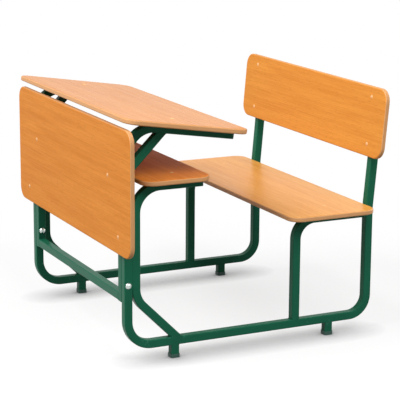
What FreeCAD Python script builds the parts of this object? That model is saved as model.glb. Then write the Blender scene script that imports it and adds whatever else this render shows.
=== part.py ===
import FreeCAD, Part
import math
import os

# School double desk with an attached bench, in millimetres.
# X runs along the boards, Y from the front panel back to the bench, Z is up.
# While the pieces are built, Y = 0 is the front face of the front uprights and Z = 0 is the floor.
# At the end everything is moved so that the origin lies on the floor under the middle of the object.

# Square steel tube of the whole frame, with wide bends at the front and tighter ones at the rear
tube = 25.4
tube_wall = 1.5
tube_corner = 3.0
front_bend_radius = 76.0
rear_bend_radius = 61.0

# Boards, and how far they reach past the side frames
board_length = 914.0
board_thick = 15.0
board_corner = 40.0
board_rim = 4.0
board_overhang = 71.0

# Sloping desk top: height of its upper front edge, how far that edge stands ahead of the panel,
# depth along the slope, slope in degrees, how far the arms stop short of the rear edge
desk_height = 746.5
desk_nose = 4.0
desk_depth = 398.0
desk_slope = 8.7
arm_setback = 21.5

# Front panel, a little longer at each end than the other boards, with a gap below the desk top
panel_overrun = 7.0
panel_bottom = 335.0
panel_gap = 18.0

# Book shelf below the desk top, a little shorter at each end
shelf_drop = 189.5
shelf_inset = 18.5
shelf_depth = 219.0
shelf_clear = 9.1
shelf_tube_setback = 11.0

# Bench seat and how far back from its front edge the tube that carries it stands
seat_height = 407.0
seat_depth = 298.5
seat_tube_setback = 43.7

# Backrest on the leaning rear uprights: lean in degrees, start of the lean below the seat's top,
# heights measured up the lean
rear_upright_front = 815.0
back_lean = 5.0
back_lean_drop = 12.0
back_lean_radius = 150.0
back_lift = 161.0
back_height = 217.0
upright_top_drop = 15.0

# Base: underside of the base rail, foot positions, diagonal foot of the shelf tube
rail_height = 40.0
foot_front = 164.0
foot_rear_inset = 123.5
diagonal_angle = 45.0
diagonal_landing = 168.0

# Brace between front upright and arm: how far below the arm it starts and its angle to the level
brace_drop = 105.8
brace_angle = 45.0

# Cross frame at the front: height of the stretcher, upper rail's underside below the shelf's top
stretcher_height = 186.0
upper_rail_drop = 12.5

# Fixing lugs welded to the inner side of the tubes, under desk top, shelf and seat
lug_width = 30.0
lug_length = 34.0
lug_thick = 3.0
desk_lug_middle = 170.0
shelf_lug_middle = 168.0
seat_lug_setback = 171.2

# Small bolts through the boards
bolt_dia = 6.0
bolt_head_dia = 12.0
bolt_head_rise = 2.2
nut_flats = 10.0
nut_thick = 5.0
bolt_tail = 2.5
panel_bolt_inset = 38.0
panel_screw_rise = 52.5
screw_bite = 9.0
back_bolt_rise = 38.0
back_bolt_drop = 32.5

# Large bolts between posts and uprights
frame_bolt_dia = 8.0
frame_head_dia = 20.0
frame_head_rise = 6.0
socket_flats = 6.0
socket_depth = 3.0
sleeve_dia = 11.0
sleeve_length = 14.0
frame_bolt_rise = 54.0
frame_bolt_drop = 75.0

# Plugs in open tube ends and caps on the feet
plug_plate = 2.5
plug_depth = 14.0
foot_cap_wall = 1.6
foot_cap_height = 12.0
foot_cap_floor = 3.0

# Clearances
hole_gap = 0.25
plug_gap = 0.15
cap_gap = 0.1
seat_gap = 0.2

half = tube / 2
side_x = board_length / 2 - board_overhang - half
post_x = side_x - tube
post_inner = post_x - half
lug_x = side_x - half - lug_width / 2
rail_top = rail_height + tube
shelf_height = desk_height - shelf_drop
shelf_front = tube + nut_thick + bolt_tail + shelf_clear
seat_front = rear_upright_front - seat_gap - seat_depth
upper_rail_height = shelf_height - upper_rail_drop
post_top = upper_rail_height + tube
frame_bolt_heights = (stretcher_height + frame_bolt_rise, post_top - frame_bolt_drop)
slope = math.radians(desk_slope)
lean = math.radians(back_lean)
X_AXIS = FreeCAD.Vector(1, 0, 0)
Y_AXIS = FreeCAD.Vector(0, 1, 0)
Z_AXIS = FreeCAD.Vector(0, 0, 1)


def at(y, z, x=0.0):
    return FreeCAD.Vector(x, y, z)


def bent_wire(points, radii):
    """Line through the points with each inner corner rounded by its radius."""
    edges = []
    last = points[0]
    for i, radius in enumerate(radii):
        corner = points[i + 1]
        back = (points[i] - corner).normalize()
        ahead = (points[i + 2] - corner).normalize()
        angle = back.getAngle(ahead)
        cut = radius / math.tan(angle / 2)
        middle = (back + ahead).normalize()
        start = corner + back * cut
        end = corner + ahead * cut
        top = corner + middle * (radius / math.sin(angle / 2) - radius)
        edges.append(Part.LineSegment(last, start).toShape())
        edges.append(Part.Arc(start, top, end).toShape())
        last = end
    edges.append(Part.LineSegment(last, points[-1]).toShape())
    return Part.Wire(edges)


def rounded_square(centre, along, size, radius):
    """Closed square outline with rounded corners, square to a direction in a side plane."""
    up = along.cross(X_AXIS).normalize()
    straight = size / 2 - radius
    diagonal = straight + radius * math.sqrt(0.5)

    def spot(a, b):
        return centre + X_AXIS * a + up * b

    edges = []
    for a, b in ((1, 1), (-1, 1), (-1, -1), (1, -1)):
        if a * b > 0:
            first = spot(a * size / 2, b * straight)
            last = spot(a * straight, b * size / 2)
            after = spot(-a * straight, b * size / 2)
        else:
            first = spot(a * straight, b * size / 2)
            last = spot(a * size / 2, b * straight)
            after = spot(a * size / 2, -b * straight)
        edges.append(Part.Arc(first, spot(a * diagonal, b * diagonal), last).toShape())
        edges.append(Part.LineSegment(last, after).toShape())
    return Part.Wire(edges)


def square_tube(points, radii=()):
    """Hollow square tube whose middle follows the bent line."""
    path = bent_wire(points, radii)
    along = (points[1] - points[0]).normalize()
    outer = rounded_square(points[0], along, tube, tube_corner)
    bore = rounded_square(points[0], along, tube - 2 * tube_wall, tube_corner - tube_wall)
    return path.makePipeShell([outer], True, False).cut(path.makePipeShell([bore], True, False))


def level_tube(x_from, x_to, y, z):
    """Straight square tube along X with its front lower edge at the given place."""
    def bar(inset):
        size = tube - 2 * inset
        block = Part.makeBox(x_to - x_from, size, size, at(y + inset, z + inset, x_from))
        long_edges = [e for e in block.Edges if e.Length > 2 * tube]
        return block.makeFillet(tube_corner - inset, long_edges)
    return bar(0.0).cut(bar(tube_wall))


def board(length, depth):
    """Flat board on the XY plane, front edge on Y = 0, top at Z = 0, rounded corners and rim."""
    blank = Part.makeBox(length, depth, board_thick, at(0, -board_thick, -length / 2))
    corners = [e for e in blank.Edges if abs(e.tangentAt(e.FirstParameter).z) > 0.9]
    blank = blank.makeFillet(board_corner, corners)
    rims = [e for f in blank.Faces if abs(f.normalAt(0, 0).z) > 0.9 and len(f.Edges) == 8 for e in f.Edges]
    return blank.makeFillet(board_rim, rims)


def drill(shape, spots, direction, dia, depth):
    """Round holes of the given depth from each spot."""
    for spot in spots:
        shape = shape.cut(Part.makeCylinder(dia / 2, depth, spot, direction))
    return shape


def aimed(shape, spot, direction):
    """Piece made along +Z from the origin, moved to a spot and pointed along a direction."""
    piece = shape.copy()
    piece.Placement = FreeCAD.Placement(spot, FreeCAD.Rotation(Z_AXIS, direction))
    return piece


def dome(dia, rise):
    """Low round head that sits on Z = 0 and rises along -Z."""
    ball = (dia * dia / 4 + rise * rise) / (2 * rise)
    cap = Part.makeSphere(ball, at(0, ball - rise))
    return cap.common(Part.makeCylinder(dia, rise, at(0, -rise)))


def board_bolt(grip):
    """Domed bolt that clamps the given thickness and ends just past its nut."""
    shank = Part.makeCylinder(bolt_dia / 2, grip + nut_thick + bolt_tail)
    return dome(bolt_head_dia, bolt_head_rise).fuse(shank).removeSplitter()


def hexagon(flats, height):
    """Six-sided bar standing on Z = 0."""
    radius = flats / math.sqrt(3)
    turns = [math.radians(60 * k) for k in range(7)]
    rim = [FreeCAD.Vector(radius * math.cos(turn), radius * math.sin(turn), 0) for turn in turns]
    return Part.Face(Part.makePolygon(rim)).extrude(Z_AXIS * height)


def hex_nut():
    """Plain hexagon nut standing on Z = 0."""
    radius = nut_flats / math.sqrt(3)
    chamfer = Part.makeCone(radius + nut_thick * 1.2, radius * 0.94, nut_thick)
    body = hexagon(nut_flats, nut_thick).common(chamfer)
    return body.cut(Part.makeCylinder(bolt_dia / 2 + hole_gap / 2, nut_thick))


def frame_head():
    """Large domed head with a hexagon socket in its crown."""
    socket = hexagon(socket_flats, socket_depth)
    socket.translate(at(0, -frame_head_rise))
    return dome(frame_head_dia, frame_head_rise).cut(socket)


def end_plug(spot, direction):
    """Plastic plug whose plate closes a tube end and whose stem sits inside the bore."""
    bore = tube - 2 * tube_wall - 2 * plug_gap
    plate = Part.makeBox(tube, tube, plug_plate, FreeCAD.Vector(-half, -half, 0))
    sides = [e for e in plate.Edges if abs(e.tangentAt(e.FirstParameter).z) > 0.9]
    plate = plate.makeFillet(tube_corner, sides)
    lip = [e for e in plate.Edges if min(v.Z for v in e.Vertexes) > plug_plate - 0.01]
    plate = plate.makeFillet(plug_plate * 0.5, lip)
    stem = Part.makeBox(bore, bore, plug_depth, FreeCAD.Vector(-bore / 2, -bore / 2, -plug_depth))
    sides = [e for e in stem.Edges if abs(e.tangentAt(e.FirstParameter).z) > 0.9]
    stem = stem.makeFillet(tube_corner - tube_wall, sides)
    return aimed(plate.fuse(stem).removeSplitter(), spot, direction)


nodes = {}


def both_sides(name, shape):
    """Keep a left piece and its mirror image on the right."""
    nodes[name + "_left"] = shape
    nodes[name + "_right"] = shape.mirror(at(0, 0), X_AXIS)


def mirrored(spots):
    """Each spot and its mirror image."""
    return [FreeCAD.Vector(s * p.x, p.y, p.z) for p in spots for s in (1, -1)]


# Desk top and the slope line that its arms follow
desk_origin = at(-board_thick - desk_nose, desk_height)
desk_down = at(-math.sin(slope), -math.cos(slope))
desk_back = at(math.cos(slope), -math.sin(slope))


def under_desk(y, depth):
    """Point at a given Y on the line that lies the given depth below the desk surface."""
    start = desk_origin + desk_down * depth
    return start + desk_back * ((y - start.y) / desk_back.y)


desk_bolt_spots = mirrored([under_desk(desk_lug_middle, 0.0) + X_AXIS * lug_x])
desk_top = board(board_length, desk_depth)
desk_top.Placement = FreeCAD.Placement(desk_origin, FreeCAD.Rotation(X_AXIS, -desk_slope))
nodes["desk_top"] = drill(desk_top, desk_bolt_spots, desk_down, bolt_dia + 2 * hole_gap, board_thick)

# Front panel, standing against the front uprights and the cross frame
upper_rail_middle = upper_rail_height + half
panel_bolt_x = post_inner - panel_bolt_inset
panel_bolt_spots = mirrored([at(-board_thick, upper_rail_middle, panel_bolt_x)])
panel_screw_spots = mirrored([at(-board_thick, panel_bottom + panel_screw_rise, side_x)])
panel_height = under_desk(0, board_thick).z - panel_gap - panel_bottom
panel = board(board_length + 2 * panel_overrun, panel_height)
panel.Placement = FreeCAD.Placement(at(-board_thick, panel_bottom), FreeCAD.Rotation(X_AXIS, 90))
panel_holes = panel_bolt_spots + panel_screw_spots
nodes["front_panel"] = drill(panel, panel_holes, Y_AXIS, bolt_dia + 2 * hole_gap, board_thick)

# Book shelf, its front edge clear of the nuts behind the upper rail
shelf_bolt_spots = mirrored([at(shelf_lug_middle, shelf_height, lug_x)])
shelf = board(board_length - 2 * shelf_inset, shelf_depth)
shelf.translate(at(shelf_front, shelf_height))
nodes["book_shelf"] = drill(shelf, shelf_bolt_spots, -Z_AXIS, bolt_dia + 2 * hole_gap, board_thick)

# Bench seat, its rear edge just clear of the rear uprights
seat_bolt_spots = mirrored([at(seat_front + seat_lug_setback, seat_height, lug_x)])
seat = board(board_length, seat_depth)
seat.translate(at(seat_front, seat_height))
nodes["seat_board"] = drill(seat, seat_bolt_spots, -Z_AXIS, bolt_dia + 2 * hole_gap, board_thick)

# Backrest on the front faces of the leaning uprights
rear_y = rear_upright_front + half
lean_up = at(math.sin(lean), math.cos(lean))
lean_back = at(math.cos(lean), -math.sin(lean))
lean_point = at(rear_y, seat_height - back_lean_drop)
back_foot = lean_point + lean_up * back_lift - lean_back * (half + board_thick)
back_bolt_lifts = (back_bolt_rise, back_height - back_bolt_drop)
back_bolt_spots = mirrored([back_foot + lean_up * lift + X_AXIS * side_x for lift in back_bolt_lifts])
backrest = board(board_length, back_height)
backrest.Placement = FreeCAD.Placement(back_foot, FreeCAD.Rotation(X_AXIS, 90 - back_lean))
nodes["back_board"] = drill(backrest, back_bolt_spots, lean_back, bolt_dia + 2 * hole_gap, board_thick)

# Main tube of each side frame: arm, front upright, base rail and leaning rear upright in one length
arm_end = desk_origin + desk_back * (desk_depth - arm_setback) + desk_down * (board_thick + half)
arm_end = arm_end + X_AXIS * side_x
upright_top = lean_point + lean_up * (back_lift + back_height - upright_top_drop) + X_AXIS * side_x
main_points = [
    arm_end,
    under_desk(half, board_thick + half) + X_AXIS * side_x,
    at(half, rail_height + half, side_x),
    at(rear_y, rail_height + half, side_x),
    lean_point + X_AXIS * side_x,
    upright_top,
]
main_bends = (front_bend_radius, front_bend_radius, rear_bend_radius, back_lean_radius)
main_tube = square_tube(main_points, main_bends)
frame_bolt_spots = [at(half, z, side_x + half) for z in frame_bolt_heights]
back_hole_spots = [spot + lean_back * board_thick for spot in back_bolt_spots if spot.x > 0]
main_tube = drill(main_tube, frame_bolt_spots, -X_AXIS, frame_bolt_dia + 2 * hole_gap, tube)
main_tube = drill(main_tube, back_hole_spots, lean_back, bolt_dia + 2 * hole_gap, tube)
screw_hole_spot = at(0, panel_bottom + panel_screw_rise, side_x)
main_tube = drill(main_tube, [screw_hole_spot], Y_AXIS, bolt_dia + 2 * hole_gap, 2 * tube_wall)
both_sides("main_tube", main_tube)

# Shelf tube: run under the shelf, upright against the front upright, diagonal down to the base rail
shelf_run_z = shelf_height - board_thick - half
shelf_run_end = at(shelf_front + shelf_depth - shelf_tube_setback, shelf_run_z, side_x)
diagonal = math.radians(diagonal_angle)
shelf_y = tube + half
diagonal_top = rail_top + (diagonal_landing - shelf_y) * math.tan(diagonal)
below = 2 * tube
shelf_points = [
    shelf_run_end,
    at(shelf_y, shelf_run_z, side_x),
    at(shelf_y, diagonal_top, side_x),
    at(diagonal_landing + below / math.tan(diagonal), rail_top - below, side_x),
]
shelf_tube = square_tube(shelf_points, (front_bend_radius, front_bend_radius))
floor_corner = at(-5 * tube, rail_top - 4 * tube, side_x - 2 * tube)
floor_side = Part.makeBox(4 * tube, 20 * tube, 4 * tube, floor_corner)
both_sides("shelf_tube", shelf_tube.cut(floor_side))

# Arm brace: short diagonal cut to fit the front upright and the underside of the arm
brace = math.radians(brace_angle)
brace_line = at(math.cos(brace), math.sin(brace))
arm_under = under_desk(tube, board_thick + tube) + X_AXIS * side_x
brace_foot = arm_under - Z_AXIS * brace_drop
brace_reach = (arm_under - brace_foot).dot(desk_down) / brace_line.dot(desk_down)
brace_end = brace_foot + brace_line * (brace_reach + 2 * tube)
brace_tube = square_tube([brace_foot - brace_line * 2 * tube, brace_end])
upright_corner = at(-7 * tube, brace_foot.z - 6 * tube, side_x - 2 * tube)
upright_side = Part.makeBox(4 * tube, 8 * tube, 12 * tube, upright_corner)
arm_side = Part.makeBox(4 * tube, 16 * tube, 6 * tube)
arm_corner = arm_under - desk_back * 8 * tube - X_AXIS * 2 * tube
arm_side.Placement = FreeCAD.Placement(arm_corner, FreeCAD.Rotation(X_AXIS, -desk_slope))
both_sides("arm_brace", brace_tube.cut(upright_side).cut(arm_side))

# Seat tube: stands on the base rail, bends under the seat and ends on the rear upright
seat_run_z = seat_height - board_thick - half
seat_tube_y = seat_front + seat_tube_setback + half
seat_points = [
    at(seat_tube_y, rail_top, side_x),
    at(seat_tube_y, seat_run_z, side_x),
    at(rear_upright_front, seat_run_z, side_x),
]
both_sides("seat_tube", square_tube(seat_points, (rear_bend_radius,)))

# Feet: a stub of tube under the base rail and a cap pushed over its end
cap_size = tube + 2 * (cap_gap + foot_cap_wall)
for place, foot_y in (("front", foot_front), ("rear", rear_upright_front - foot_rear_inset)):
    stub = square_tube([at(foot_y, foot_cap_floor, side_x), at(foot_y, rail_height, side_x)])
    both_sides("foot_stub_" + place, stub)
    cap_corner = at(foot_y - cap_size / 2, 0, side_x - cap_size / 2)
    cap = Part.makeBox(cap_size, cap_size, foot_cap_height, cap_corner)
    corners = [e for e in cap.Edges if abs(e.tangentAt(e.FirstParameter).z) > 0.9]
    cap = cap.makeFillet(tube_corner + foot_cap_wall, corners)
    sole = [e for e in cap.Edges if max(v.Z for v in e.Vertexes) < 0.01]
    cap = cap.makeFillet(1.2, sole)
    cap_floor = at(foot_y, foot_cap_floor, side_x)
    outline = rounded_square(cap_floor, Z_AXIS, tube + 2 * cap_gap, tube_corner + cap_gap)
    both_sides("foot_cap_" + place, cap.cut(Part.Face(outline).extrude(Z_AXIS * foot_cap_height)))

# Cross frame: posts beside the front uprights, stretcher below, upper rail behind the panel
post = square_tube([at(half, stretcher_height, post_x), at(half, post_top, post_x)])
post_bolt_spots = [at(half, z, post_x + half) for z in frame_bolt_heights]
post = drill(post, post_bolt_spots, -X_AXIS, frame_bolt_dia + 2 * hole_gap, tube)
sleeve_spots = [spot - X_AXIS * tube for spot in post_bolt_spots]
post = drill(post, sleeve_spots, X_AXIS, sleeve_dia + 2 * hole_gap, 2 * tube_wall)
both_sides("cross_post", post)
nodes["stretcher"] = level_tube(-post_inner, post_inner, 0.0, stretcher_height)
upper_rail = level_tube(-post_inner, post_inner, 0.0, upper_rail_height)
upper_hole_spots = mirrored([at(0, upper_rail_middle, panel_bolt_x)])
nodes["upper_rail"] = drill(upper_rail, upper_hole_spots, Y_AXIS, bolt_dia + 2 * hole_gap, tube)

# Lugs: flat plates welded to the inner side of the tubes, flush with their tops
lug_corner = FreeCAD.Vector(-lug_width / 2, -lug_length / 2, -lug_thick)
lug = Part.makeBox(lug_width, lug_length, lug_thick, lug_corner)
free_corners = [e for e in lug.Edges if abs(e.tangentAt(e.FirstParameter).z) > 0.9 and e.CenterOfMass.x < 0]
lug = lug.makeFillet(lug_thick * 2, free_corners)
lug = drill(lug, [FreeCAD.Vector(0, 0, 0)], -Z_AXIS, bolt_dia + 2 * hole_gap, lug_thick)
for name, spots, down, tilt in (
    ("desk_lug", desk_bolt_spots, desk_down, -desk_slope),
    ("shelf_lug", shelf_bolt_spots, -Z_AXIS, 0.0),
    ("seat_lug", seat_bolt_spots, -Z_AXIS, 0.0),
):
    piece = lug.copy()
    piece.Placement = FreeCAD.Placement(spots[0] + down * board_thick, FreeCAD.Rotation(X_AXIS, tilt))
    both_sides(name, piece)

# Bolts and nuts of the boards, one group per board
thin_grip = board_thick + lug_thick
tube_grip = board_thick + tube
for name, spots, direction, grip in (
    ("desk", desk_bolt_spots, desk_down, thin_grip),
    ("shelf", shelf_bolt_spots, -Z_AXIS, thin_grip),
    ("seat", seat_bolt_spots, -Z_AXIS, thin_grip),
    ("panel", panel_bolt_spots, Y_AXIS, tube_grip),
    ("back", back_bolt_spots, lean_back, tube_grip),
):
    bolt = board_bolt(grip)
    nut = hex_nut()
    nodes[name + "_bolts"] = Part.makeCompound([aimed(bolt, spot, direction) for spot in spots])
    nuts = [aimed(nut, spot + direction * grip, direction) for spot in spots]
    nodes[name + "_nuts"] = Part.makeCompound(nuts)

# Screws that hold the lower half of the panel to the front wall of the main tubes
screw_length = board_thick + tube_wall + screw_bite
screw_point = Part.makeCone(bolt_dia / 2, bolt_dia / 8, bolt_dia / 2, at(0, screw_length))
screw = dome(bolt_head_dia, bolt_head_rise).fuse(Part.makeCylinder(bolt_dia / 2, screw_length))
screw = screw.fuse(screw_point).removeSplitter()
nodes["panel_screws"] = Part.makeCompound([aimed(screw, spot, Y_AXIS) for spot in panel_screw_spots])

# Frame bolts: domed bolt from outside, domed sleeve nut from inside the cross frame
frame_grip = 2 * tube
bolt_end = frame_grip - sleeve_length * 0.3
frame_bolt = frame_head().fuse(Part.makeCylinder(frame_bolt_dia / 2, bolt_end))
sleeve = frame_head().fuse(Part.makeCylinder(sleeve_dia / 2, sleeve_length))
sleeve = sleeve.cut(Part.makeCylinder(frame_bolt_dia / 2 + hole_gap / 2, sleeve_length))
frame_bolts = []
sleeve_nuts = []
for side in (1, -1):
    for z in frame_bolt_heights:
        frame_bolts.append(aimed(frame_bolt, at(half, z, side * (side_x + half)), X_AXIS * -side))
        sleeve_nuts.append(aimed(sleeve, at(half, z, side * post_inner), X_AXIS * side))
nodes["frame_bolts"] = Part.makeCompound(frame_bolts)
nodes["sleeve_nuts"] = Part.makeCompound(sleeve_nuts)

# Plugs in the open ends of the main tubes and shelf tubes
both_sides("arm_plug", end_plug(arm_end, desk_back))
both_sides("shelf_plug", end_plug(shelf_run_end, Y_AXIS))
both_sides("upright_plug", end_plug(upright_top, lean_up))

# Move the origin to the floor under the middle and write one file per piece
whole = Part.makeCompound(list(nodes.values())).optimalBoundingBox(False, False)
shift = at(-(whole.YMin + whole.YMax) / 2, -whole.ZMin)
os.makedirs("parts", exist_ok=True)
for name, shape in nodes.items():
    shape.translate(shift)
    shape.exportStep("parts/" + name + ".step")
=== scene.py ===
import math

import bpy
import numpy as np
from mathutils import Matrix, Vector


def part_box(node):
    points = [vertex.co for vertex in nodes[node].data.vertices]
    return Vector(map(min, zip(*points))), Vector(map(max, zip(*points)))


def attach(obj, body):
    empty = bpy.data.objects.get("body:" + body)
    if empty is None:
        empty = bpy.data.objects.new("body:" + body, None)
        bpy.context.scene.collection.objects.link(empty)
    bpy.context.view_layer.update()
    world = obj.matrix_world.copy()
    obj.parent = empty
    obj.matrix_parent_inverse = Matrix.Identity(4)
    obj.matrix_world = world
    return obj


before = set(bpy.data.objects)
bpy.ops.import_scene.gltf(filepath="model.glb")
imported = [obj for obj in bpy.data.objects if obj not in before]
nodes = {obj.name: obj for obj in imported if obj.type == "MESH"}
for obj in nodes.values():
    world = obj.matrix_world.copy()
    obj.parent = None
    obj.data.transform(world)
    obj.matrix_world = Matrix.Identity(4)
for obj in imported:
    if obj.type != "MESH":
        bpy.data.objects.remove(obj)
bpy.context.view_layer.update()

scene = bpy.context.scene


# Side frames and cross frame
# Two bent frames of one-inch square steel tube with a bolted cross frame between them, welded from
# cut and bent lengths, then sprayed and baked in a dark green enamel.

def linear(code):
    """sRGB hex code to linear red, green, blue, alpha: (c + 0.055) / 1.055 to the power 2.4."""
    c = np.array([int(code[i:i + 2], 16) for i in (1, 3, 5)]) / 255.0
    c = np.where(c <= 0.04045, c / 12.92, ((c + 0.055) / 1.055) ** 2.4)
    return (float(c[0]), float(c[1]), float(c[2]), 1.0)


def add(owner, kind, inputs=(), **settings):
    """Adds one shader node: settings are its own properties, inputs its sockets' values or links."""
    made = owner.node_tree.nodes.new("ShaderNode" + kind)
    for name, value in settings.items():
        setattr(made, name, value)
    for socket, value in dict(inputs).items():
        if isinstance(value, bpy.types.NodeSocket):
            owner.node_tree.links.new(value, made.inputs[socket])
        else:
            made.inputs[socket].default_value = value
    return made


def blank(name):
    """A material with an output node alone, and that output."""
    material = bpy.data.materials.new(name)
    material.use_nodes = True
    material.node_tree.nodes.clear()
    return material, add(material, "OutputMaterial")


def dress(material, *names):
    """Gives CAD nodes this material in every slot."""
    for name in names:
        slots = nodes[name].data.materials
        slots.clear()
        slots.append(material)


# Baked enamel over steel tube: an even dark green with a soft orange-peel skin, a half gloss that
# picks up the pale floor at a low angle, and dull scuffs low down where shoes rub the rails.
# The real orange peel is about 2 mm across; 5 mm is drawn so that it shows.
flow_width = 0.11
peel_width = 0.005
rub_width = 0.018
scuff_top = 0.16
scuff_full = 0.03
enamel, enamel_out = blank("green_baked_enamel")
place = add(enamel, "TexCoord").outputs["Object"]
flow = add(enamel, "TexNoise", {"Vector": place, "Scale": 1 / flow_width, "Detail": 3.0})
peel = add(enamel, "TexNoise", {"Vector": place, "Scale": 1 / peel_width, "Detail": 2.0})
rubs = add(enamel, "TexNoise", {"Vector": place, "Scale": 1 / rub_width, "Detail": 5.0,
                                "Roughness": 0.7})
height = add(enamel, "SeparateXYZ", {"Vector": place}).outputs["Z"]
low = add(enamel, "MapRange", {"Value": height, "From Min": scuff_top, "From Max": scuff_full})
rubbed = add(enamel, "MapRange", {"Value": rubs.outputs["Fac"], "From Min": 0.6, "From Max": 0.72})
scuff = add(enamel, "Math", {0: low.outputs[0], 1: rubbed.outputs[0]}, operation="MULTIPLY")
green = add(enamel, "Mix", {0: flow.outputs["Fac"], 6: linear("#165A40"), 7: linear("#1E6B51")},
            data_type="RGBA")
worn = add(enamel, "Mix", {0: scuff.outputs[0], 6: green.outputs[2], 7: linear("#3F7F69")},
           data_type="RGBA")
gloss = add(enamel, "MapRange", {"Value": flow.outputs["Fac"], "From Min": 0.3, "From Max": 0.7,
                                 "To Min": 0.28, "To Max": 0.4})
dull = add(enamel, "Math", {0: scuff.outputs[0], 1: 0.3, 2: gloss.outputs[0]}, operation="MULTIPLY_ADD")
skin = add(enamel, "Bump", {"Height": peel.outputs["Fac"], "Strength": 0.4, "Distance": 0.0002})
paint = add(enamel, "BsdfPrincipled", {"Base Color": worn.outputs[2], "Roughness": dull.outputs[0],
                                       "Normal": skin.outputs[0], "IOR": 1.5, "Specular IOR Level": 0.09})
enamel.node_tree.links.new(paint.outputs[0], enamel_out.inputs["Surface"])

tubes = ["main_tube", "shelf_tube", "arm_brace", "seat_tube", "foot_stub_front", "foot_stub_rear",
         "cross_post", "desk_lug", "shelf_lug", "seat_lug"]
sides = {"left": 1.0, "right": -1.0}
dress(enamel, "stretcher", "upper_rail", *[f"{tube}_{side}" for tube in tubes for side in sides])


# Weld beads
# Beads of filler metal where one tube stands on another, along the groove between shelf tube and
# upright, and along the lugs: laid by hand in a jig, rippled, and painted over with the frame.

bead_radius = 0.0019
bead_proud = 0.0004
ripple_pitch = 0.0024
ripple_depth = 0.14
ripple_steps = 4
bead_sides = 10
bead_end = 0.97
end_depth = 0.00005
corner_step = 15.0
tube_corner = 0.003
lug_half_thickness = 0.0015
lug_weld_share = 0.8
desk_slope = math.radians(8.7)
bead_points = []
bead_faces = []


def flat_end(node, way):
    """The flat end of a node that faces way: its middle, its half sizes and the two axes they lie along.

    The end is every vertex within end_depth of the furthest one along way."""
    across = np.eye(3)[1 if abs(way[0]) > 0.5 else 0]
    axes = np.array((across, np.cross(way, across)))
    points = np.empty(3 * len(nodes[node].data.vertices), np.float32)
    nodes[node].data.vertices.foreach_get("co", points)
    points = points.reshape(-1, 3).astype(float)
    reach = points @ way
    spread = points[reach > reach.max() - end_depth] @ axes.T
    low_side, high_side = spread.min(0), spread.max(0)
    middle = reach.max() * np.array(way) + (low_side + high_side) / 2 @ axes
    return middle, (high_side - low_side) / 2, axes


def lay_bead(path, outward, normal, radius, closed):
    """Adds a bead to the mesh: path plus radius times (cos v outward + sin v normal), v once round.

    Its rings join end to start when closed, and otherwise each end ring is closed by one face."""
    v = np.linspace(0.0, 2 * np.pi, bead_sides, endpoint=False)[:, None]
    rings = path[:, None] + radius[:, None, None] * (np.cos(v) * outward[:, None] + np.sin(v) * normal)
    start = sum(len(points) for points in bead_points)
    index = start + np.arange(rings.shape[0] * len(v)).reshape(rings.shape[:2])
    below = index if closed else index[:-1]
    above = np.roll(index, -1, 0) if closed else index[1:]
    quads = np.stack((below, above, np.roll(above, -1, 1), np.roll(below, -1, 1)), 2)
    bead_points.append(rings.reshape(-1, 3))
    bead_faces.extend(quads.reshape(-1, 4).tolist())
    if not closed:
        bead_faces.extend((index[0].tolist(), index[-1, ::-1].tolist()))


def rippled(count):
    """Radius along a bead of count ripples: it swells with the size of a sine, once per ripple."""
    return bead_radius * (1 - ripple_depth * (1 - np.abs(np.sin(np.pi * np.arange(count * ripple_steps)
                                                                / ripple_steps))))


def ring_bead(node, way):
    """Closed bead round a tube's flat end, along a rectangle with rounded corners.

    The rectangle's corners are arcs about the corners of a core smaller by the corner radius. Its
    sides along the first axis lie flush with the tube below, so they are drawn in by the radius."""
    middle, half, axes = flat_end(node, way)
    core = half - tube_corner - np.array((bead_radius - bead_proud, 0.0))
    turn = np.radians(np.arange(corner_step / 2, 360.0 + corner_step, corner_step))
    arms = np.stack((np.cos(turn), np.sin(turn)), 1)
    outline = np.sign(arms) * core + tube_corner * arms
    run = np.concatenate(((0.0,), np.cumsum(np.linalg.norm(np.diff(outline, axis=0), axis=1))))
    ripples = round(run[-1] / ripple_pitch)
    spots = np.linspace(0.0, run[-1], ripples * ripple_steps, endpoint=False)
    path = np.stack((np.interp(spots, run, outline[:, 0]), np.interp(spots, run, outline[:, 1])), 1)
    outward = path - np.clip(path, -core, core)
    outward /= np.linalg.norm(outward, axis=1, keepdims=True)
    lay_bead(middle + path @ axes, outward @ axes, np.array(way), rippled(ripples), True)


def line_bead(middle, along, length, outward):
    """Straight bead about its middle, whose radius falls off at both ends as a rounded step does."""
    ripples = round(length / ripple_pitch)
    share = np.linspace(-bead_end, bead_end, ripples * ripple_steps)
    path = middle + share[:, None] * np.array(along) * length / 2
    radius = rippled(ripples) * np.sqrt(1 - share ** 6)
    outward = np.tile(outward, (len(share), 1))
    lay_bead(path, outward, np.cross(outward[0], along), radius, False)


up = (0.0, 0.0, 1.0)
down = (0.0, 0.0, -1.0)
backward = (0.0, 1.0, 0.0)
forward = (0.0, -1.0, 0.0)
arm_up = (0.0, math.sin(desk_slope), math.cos(desk_slope))
arm_back = (0.0, math.cos(desk_slope), -math.sin(desk_slope))
for side, sign in sides.items():
    outer = (sign, 0.0, 0.0)
    for tube, way in (("foot_stub_front", up), ("foot_stub_rear", up), ("seat_tube", down),
                      ("seat_tube", backward), ("shelf_tube", down), ("arm_brace", forward),
                      ("arm_brace", arm_up)):
        ring_bead(f"{tube}_{side}", way)
    ring_bead("stretcher", outer)
    ring_bead("upper_rail", outer)
    middle, half, axes = flat_end(f"shelf_tube_{side}", forward)
    for out in (-1.0, 1.0):
        groove = (out * (half[0] + tube_corner - bead_radius + bead_proud), 0.0, 0.0)
        line_bead(middle + groove, up, 2 * half[1], (out, 0.0, 0.0))
    for lug, above, along in (("desk_lug", arm_up, arm_back), ("shelf_lug", up, backward),
                              ("seat_lug", up, backward)):
        middle, half, axes = flat_end(f"{lug}_{side}", outer)
        edge = middle - lug_half_thickness * np.array(above)
        line_bead(edge, along, 2 * lug_weld_share * half[0], -np.array(above))

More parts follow.
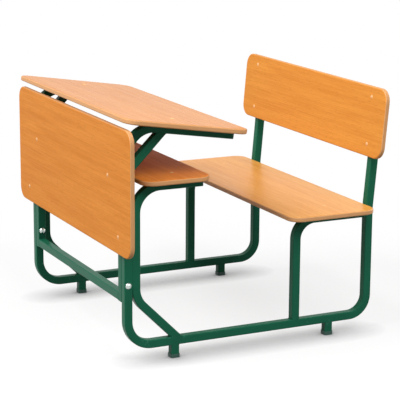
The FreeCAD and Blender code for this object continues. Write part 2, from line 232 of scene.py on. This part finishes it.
bead_mesh = bpy.data.meshes.new("weld_beads")
bead_mesh.from_pydata(np.vstack(bead_points).tolist(), [], bead_faces)
bead_mesh.polygons.foreach_set("use_smooth", np.ones(len(bead_faces), bool))
bead_mesh.materials.append(enamel)
beads = bpy.data.objects.new("weld_beads", bead_mesh)
scene.collection.objects.link(beads)
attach(beads, "root")


# Boards
# Desk top, front panel, book shelf, seat and backrest: 15 mm plywood faced with straight-grained
# beech, corners and rims rounded over on a router, then stained honey and lacquered.

# Lacquered beech: warm honey streaks along the board with short dark flecks, a soft shine, and pale and
# dark plies where the rim is rounded over. Real beech rays, the flecks, are half a millimetre wide;
# 1.6 mm is drawn so that they show. The veneer's depths are measured from the board's middle.
streak_size = np.array((0.16, 0.003, 0.003))
figure_size = np.array((0.45, 0.025, 0.025))
ray_size = np.array((0.02, 0.0016, 0.0016))
veneer_face = 0.0071
veneer_foot = 0.0064
ply_thickness = 0.00136
quarter_turn = math.radians(90.0)
back_lean = math.radians(5.0)


def plywood(name, node, tilt, dark, light, rubbed, lacquer_level):
    """Lacquered plywood for one board: grain along X, plies counted through its thickness.

    The board's own axes come from its box's middle and its turn about X, tilt. Dark and light are the
    stain's two tones, set per board partly as painted light, rubbed the lacquer's roughness and
    lacquer_level how strong its shine is."""
    low_corner, high_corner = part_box(node)
    material, out = blank(name)
    place = add(material, "TexCoord").outputs["Object"]
    own = add(material, "Mapping", {"Vector": place, "Location": (low_corner + high_corner) / 2,
                                    "Rotation": (tilt, 0.0, 0.0)}, vector_type="TEXTURE")
    along = add(material, "Mapping", {"Vector": own.outputs[0], "Scale": 1 / streak_size})
    streak = add(material, "TexNoise", {"Vector": along.outputs[0], "Scale": 1.0, "Detail": 4.0})
    wide = add(material, "Mapping", {"Vector": own.outputs[0], "Scale": 1 / figure_size})
    figure = add(material, "TexNoise", {"Vector": wide.outputs[0], "Scale": 1.0, "Detail": 2.0,
                                        "Distortion": 0.7})
    dash = add(material, "Mapping", {"Vector": own.outputs[0], "Scale": 1 / ray_size})
    ray = add(material, "TexNoise", {"Vector": dash.outputs[0], "Scale": 1.0, "Detail": 1.0})
    rays = add(material, "MapRange", {"Value": ray.outputs["Fac"], "From Min": 0.6, "From Max": 0.74,
                                      "To Max": 0.5})
    fine = add(material, "Math", {0: streak.outputs["Fac"], 1: 0.5}, operation="MULTIPLY")
    grain = add(material, "Math", {0: figure.outputs["Fac"], 1: 0.5, 2: fine.outputs[0]},
                operation="MULTIPLY_ADD")
    clear = add(material, "MapRange", {"Value": grain.outputs[0], "From Min": 0.3, "From Max": 0.7})
    honey = add(material, "Mix", {0: clear.outputs[0], 6: linear(dark), 7: linear(light)},
                data_type="RGBA")
    face = add(material, "Mix", {0: rays.outputs[0], 6: honey.outputs[2], 7: linear("#BE6E2A")},
               data_type="RGBA")
    # Through the thickness: a face veneer, then eleven plies that turn pale and dark in turn.
    through = add(material, "SeparateXYZ", {"Vector": own.outputs[0]}).outputs["Z"]
    depth = add(material, "Math", {0: through}, operation="ABSOLUTE")
    cut = add(material, "MapRange", {"Value": depth.outputs[0], "From Min": veneer_face,
                                     "From Max": veneer_foot})
    layer = add(material, "Math", {0: through, 1: 1 / ply_thickness}, operation="MULTIPLY")
    turn = add(material, "Math", {0: layer.outputs[0], 1: 1.0}, operation="PINGPONG")
    plies = add(material, "Mix", {0: turn.outputs[0], 6: linear("#E6B07C"), 7: linear("#CC8E58")},
                data_type="RGBA")
    wood = add(material, "Mix", {0: cut.outputs[0], 6: face.outputs[2], 7: plies.outputs[2]},
               data_type="RGBA")
    lacquer = add(material, "MapRange", {"Value": streak.outputs["Fac"], "From Min": 0.3, "From Max": 0.7,
                                         "To Min": rubbed + 0.05, "To Max": rubbed - 0.05})
    sheen = add(material, "Math", {0: cut.outputs[0], 1: 0.12, 2: lacquer.outputs[0]},
                operation="MULTIPLY_ADD")
    pores = add(material, "Bump", {"Height": ray.outputs["Fac"], "Strength": 0.25, "Distance": 0.0002})
    body = add(material, "BsdfPrincipled", {"Base Color": wood.outputs[2], "Roughness": sheen.outputs[0],
                                            "Normal": pores.outputs[0], "IOR": 1.5,
                                            "Specular IOR Level": lacquer_level})
    material.node_tree.links.new(body.outputs[0], out.inputs["Surface"])
    dress(material, node)


# The boards differ a little in tone, partly as veneer does and partly as painted light: the seat's paler
# tone stands in for more light on it, the shelf's brighter tone lifts its shade, and the desk top's
# darker tone offsets the light on it. Top and seat are rubbed smooth by use, while panel, backrest and
# shelf keep the dull lacquer that they left the works with.
# Painted light: the desk top's darker tone offsets the light that falls on it.
plywood("beech_plywood_desk_top", "desk_top", -desk_slope, "#C87A2A", "#E1953D", 0.3, 0.135)
plywood("beech_plywood_panel", "front_panel", quarter_turn, "#D98130", "#EE9A42", 0.55, 0.1)
# Painted light: the shelf's brighter tone lifts the shade under the desk top.
plywood("beech_plywood_shelf", "book_shelf", 0.0, "#DC7A25", "#F49436", 0.5, 0.1)
# Painted light: the seat's paler, yellower tone stands in for more light on it.
plywood("beech_plywood_seat", "seat_board", 0.0, "#DD9038", "#F0AD4F", 0.34, 0.25)
plywood("beech_plywood_backrest", "back_board", quarter_turn - back_lean, "#DB8936", "#F0A349", 0.55, 0.1)


# Bolts and screws of the boards
# Cold-formed steel, zinc plated, with domed heads that stand 2 mm proud of the wood. The heads were
# sprayed a pale tan to go with the boards, so only shanks and tips are bright.

# Tan lacquer over zinc plate: satin dots a little paler than the wood, dappled by the spray. Its mist is
# some tenths of a millimetre; 0.8 mm is drawn so that it shows close up.
board_half_thickness = 0.0075
tan_edge = 0.0003
spray_width = 0.004
mist_width = 0.0008


def tan_headed(name, node, board, way):
    """Tan lacquer where a point lies past the board's face along way, and bright zinc below that."""
    low_corner, high_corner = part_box(board)
    face = (low_corner + high_corner).dot(Vector(way)) / 2 + board_half_thickness
    material, out = blank(name)
    place = add(material, "TexCoord").outputs["Object"]
    level = add(material, "VectorMath", {0: place, 1: way}, operation="DOT_PRODUCT").outputs["Value"]
    shank = add(material, "MapRange", {"Value": level, "From Min": face, "From Max": face - tan_edge})
    spray = add(material, "TexNoise", {"Vector": place, "Scale": 1 / spray_width, "Detail": 4.0})
    tan = add(material, "Mix", {0: spray.outputs["Fac"], 6: linear("#E9A765"), 7: linear("#F6C58E")},
              data_type="RGBA")
    tint = add(material, "Mix", {0: shank.outputs[0], 6: tan.outputs[2], 7: linear("#CDD3D0")},
               data_type="RGBA")
    satin = add(material, "MapRange", {"Value": spray.outputs["Fac"], "From Min": 0.3, "From Max": 0.7,
                                       "To Min": 0.34, "To Max": 0.5})
    mist = add(material, "TexNoise", {"Vector": place, "Scale": 1 / mist_width, "Detail": 2.0})
    skin = add(material, "Bump", {"Height": mist.outputs["Fac"], "Strength": 0.3, "Distance": 0.00005})
    coat = add(material, "BsdfPrincipled", {"Base Color": tint.outputs[2], "Metallic": shank.outputs[0],
                                            "Roughness": satin.outputs[0], "Normal": skin.outputs[0]})
    material.node_tree.links.new(coat.outputs[0], out.inputs["Surface"])
    dress(material, node)


tan_headed("tan_lacquered_desk_bolts", "desk_bolts", "desk_top", arm_up)
tan_headed("tan_lacquered_shelf_bolts", "shelf_bolts", "book_shelf", up)
tan_headed("tan_lacquered_seat_bolts", "seat_bolts", "seat_board", up)
tan_headed("tan_lacquered_panel_bolts", "panel_bolts", "front_panel", forward)
tan_headed("tan_lacquered_panel_screws", "panel_screws", "front_panel", forward)
tan_headed("tan_lacquered_back_bolts", "back_bolts", "back_board",
           (0.0, -math.cos(back_lean), math.sin(back_lean)))


# Frame bolts and nuts
# The large domed bolts between posts and uprights with their sleeve nuts, and the hexagon nuts of
# the board bolts: cold-formed steel, tumbled and bright zinc plated.

# Bright zinc plate: a slightly cool silver, cloudy from the bath, that mirrors paint and floor softly.
# Tumbling marks are some tenths of a millimetre; 0.8 mm is drawn so that they show close up.
cloud_width = 0.006
tumble_width = 0.0008
zinc, zinc_out = blank("bright_zinc_plated_steel")
place = add(zinc, "TexCoord").outputs["Object"]
bath = add(zinc, "TexNoise", {"Vector": place, "Scale": 1 / cloud_width, "Detail": 4.0})
tint = add(zinc, "Mix", {0: bath.outputs["Fac"], 6: linear("#B2BBB7"), 7: linear("#D3DAD6")},
           data_type="RGBA")
polish = add(zinc, "MapRange", {"Value": bath.outputs["Fac"], "From Min": 0.3, "From Max": 0.7,
                                "To Min": 0.24, "To Max": 0.4})
tumble = add(zinc, "TexNoise", {"Vector": place, "Scale": 1 / tumble_width, "Detail": 2.0})
marks = add(zinc, "Bump", {"Height": tumble.outputs["Fac"], "Strength": 0.3, "Distance": 0.00005})
plate = add(zinc, "BsdfPrincipled", {"Base Color": tint.outputs[2], "Metallic": 1.0,
                                     "Roughness": polish.outputs[0], "Normal": marks.outputs[0]})
zinc.node_tree.links.new(plate.outputs[0], zinc_out.inputs["Surface"])

dress(zinc, "frame_bolts", "sleeve_nuts", "desk_nuts", "shelf_nuts", "seat_nuts", "panel_nuts",
      "back_nuts")


# Plugs and foot caps
# Pushed-in end plugs in the open tube ends and slip-on caps under the feet: injection-moulded
# polyethylene with a fine spark-eroded grain, black in the plugs and green grey in the caps.

# Moulded polyethylene looks waxy and dull, slightly greyed by dust. The mould grain is about 0.3 mm;
# 0.9 mm is drawn so that it shows close up.
mould_grain = 0.0009
dust_width = 0.012


def polyethylene(name, dark, light):
    """Polyethylene whose colour goes from dark to light, and whose roughness rises, with the dust."""
    material, out = blank(name)
    place = add(material, "TexCoord").outputs["Object"]
    grain = add(material, "TexNoise", {"Vector": place, "Scale": 1 / mould_grain, "Detail": 2.0})
    dust = add(material, "TexNoise", {"Vector": place, "Scale": 1 / dust_width, "Detail": 4.0})
    tint = add(material, "Mix", {0: dust.outputs["Fac"], 6: linear(dark), 7: linear(light)},
               data_type="RGBA")
    wax = add(material, "MapRange", {"Value": dust.outputs["Fac"], "From Min": 0.3, "From Max": 0.7,
                                     "To Min": 0.38, "To Max": 0.54})
    eroded = add(material, "Bump", {"Height": grain.outputs["Fac"], "Strength": 0.4, "Distance": 0.0001})
    body = add(material, "BsdfPrincipled", {"Base Color": tint.outputs[2], "Roughness": wax.outputs[0],
                                            "Normal": eroded.outputs[0], "IOR": 1.5})
    material.node_tree.links.new(body.outputs[0], out.inputs["Surface"])
    return material


poly = polyethylene("black_moulded_polyethylene", "#141716", "#2A2E2C")
cap_poly = polyethylene("green_grey_moulded_polyethylene", "#21413A", "#3A5F54")
dress(poly, *[f"{end}_{side}" for end in ("arm_plug", "shelf_plug", "upright_plug") for side in sides])
dress(cap_poly, *[f"{cap}_{side}" for cap in ("foot_cap_front", "foot_cap_rear") for side in sides])


# Floor
# A wide floor of pale vinyl, matt, not part of the desk. It keeps a light shadow near the desk, cast and
# with painted shade under the rails and feet, and fades to plain white away from it.

floor_half = 40.0
specks_per_metre = 60.0
shade_reach = 0.1
shade_power = 1.9
near_white = 0.77
fade_start = 0.9
fade_end = 1.5
corners = np.array([(-1, -1, 0), (1, -1, 0), (1, 1, 0), (-1, 1, 0)]) * floor_half
floor_mesh = bpy.data.meshes.new("floor")
floor_mesh.from_pydata(corners.tolist(), [], [(0, 1, 2, 3)])
floor = bpy.data.objects.new("floor", floor_mesh)
scene.collection.objects.link(floor)

vinyl, vinyl_out = blank("pale_matt_vinyl")
place = add(vinyl, "TexCoord").outputs["Object"]
speck = add(vinyl, "TexNoise", {"Vector": place, "Scale": specks_per_metre, "Detail": 3.0})
pale = add(vinyl, "Mix", {0: speck.outputs["Fac"], 6: linear("#F4F4F5"), 7: linear("#FAFAFA")},
           data_type="RGBA")
matt = add(vinyl, "BsdfDiffuse", {"Color": pale.outputs[2]})
dim = add(vinyl, "BsdfDiffuse", {"Color": linear("#787878")})
# Painted shade: occlusion within a hand's breadth dims the floor's white, as under the base rails and
# feet.
near_things = add(vinyl, "AmbientOcclusion", {"Distance": shade_reach}, samples=8)
shade = add(vinyl, "Math", {0: near_things.outputs["AO"], 1: shade_power}, operation="POWER")
white = add(vinyl, "Emission", {"Color": (1.0, 1.0, 1.0, 1.0), "Strength": shade.outputs[0]})
away = add(vinyl, "VectorMath", {0: place}, operation="LENGTH")
fade = add(vinyl, "MapRange", {"Value": away.outputs["Value"], "From Min": fade_start,
                               "From Max": fade_end, "To Min": near_white},
           interpolation_type="SMOOTHSTEP")
path = add(vinyl, "LightPath")
mirrored = add(vinyl, "Math", {0: path.outputs["Is Glossy Ray"], 1: path.outputs["Is Transmission Ray"]},
               operation="MAXIMUM")
seen = add(vinyl, "Math", {0: path.outputs["Is Camera Ray"], 1: mirrored.outputs[0]}, operation="MAXIMUM")
near_look = add(vinyl, "MixShader", {0: seen.outputs[0], 1: dim.outputs[0], 2: matt.outputs[0]})
white_share = add(vinyl, "Math", {0: seen.outputs[0], 1: fade.outputs[0]}, operation="MULTIPLY")
whitened = add(vinyl, "MixShader", {0: white_share.outputs[0], 1: near_look.outputs[0],
                                    2: white.outputs[0]})
vinyl.node_tree.links.new(whitened.outputs[0], vinyl_out.inputs["Surface"])
floor_mesh.materials.append(vinyl)


# Light
# A dim white room, seen as white, with a large soft light high in front of the panel, one at the
# desk's left side and a weak one low behind the backrest.

room_light = 0.2
world = bpy.data.worlds.new("white_room")
scene.world = world
world.use_nodes = True
world.node_tree.nodes.clear()
path = add(world, "LightPath")
mirrored = add(world, "Math", {0: path.outputs["Is Glossy Ray"], 1: path.outputs["Is Transmission Ray"]},
               operation="MAXIMUM")
seen = add(world, "Math", {0: path.outputs["Is Camera Ray"], 1: mirrored.outputs[0]}, operation="MAXIMUM")
level = add(world, "MapRange", {"Value": seen.outputs[0], "To Min": room_light, "To Max": 1.0})
sky = add(world, "Background", {"Color": (1.0, 1.0, 1.0, 1.0), "Strength": level.outputs[0]})
add(world, "OutputWorld", {"Surface": sky.outputs[0]})


def soft_light(name, spot, aim, size, power):
    """A square area lamp at spot that faces aim."""
    lamp = bpy.data.lights.new(name, "AREA")
    lamp.size = size
    lamp.energy = power
    made = bpy.data.objects.new(name, lamp)
    turn = (Vector(aim) - Vector(spot)).to_track_quat("-Z", "Y")
    made.matrix_world = Matrix.Translation(spot) @ turn.to_matrix().to_4x4()
    scene.collection.objects.link(made)


soft_light("front_light", spot=(0.0, -4.9, 5.3), aim=(0.0, 0.0, 0.4), size=5.0, power=500.0)
soft_light("side_light", spot=(3.6, 0.2, 3.9), aim=(0.0, 0.0, 0.3), size=2.5, power=150.0)
soft_light("back_light", spot=(-0.8, 6.4, 2.2), aim=(0.0, 0.0, 0.4), size=4.0, power=150.0)


# Camera
# Five metres off the desk's front left corner at eye height, with a long lens. The distances are
# measured from the middle of the desk at the front face of the front uprights, on the floor.

front_face = Vector((0.0, -0.4287435, 0.0))
camera_back = 5.02384
camera_right = 0.38585
camera_up = 0.40872
image_pixels = 400
focal_pixels = 1592.0
sensor_mm = 36.0
azimuth = math.radians(64.12)
elevation = math.radians(13.14)
roll = math.radians(0.37)
gaze = Vector((-math.sin(azimuth) * math.cos(elevation), math.cos(azimuth) * math.cos(elevation),
               -math.sin(elevation)))
right = Vector((math.cos(azimuth), math.sin(azimuth), 0.0))
lift = right.cross(gaze)
spot = -camera_back * gaze + camera_right * right + camera_up * lift + front_face
leaning = right * math.cos(roll) + lift * math.sin(roll)
upright = lift * math.cos(roll) - right * math.sin(roll)
view = bpy.data.cameras.new("camera")
view.sensor_width = sensor_mm
view.lens = focal_pixels / image_pixels * sensor_mm
camera = bpy.data.objects.new("camera", view)
camera.matrix_world = Matrix(((leaning.x, upright.x, -gaze.x, spot.x),
                              (leaning.y, upright.y, -gaze.y, spot.y),
                              (leaning.z, upright.z, -gaze.z, spot.z),
                              (0.0, 0.0, 0.0, 1.0)))
scene.collection.objects.link(camera)
scene.camera = camera
scene.view_settings.view_transform = "Standard"
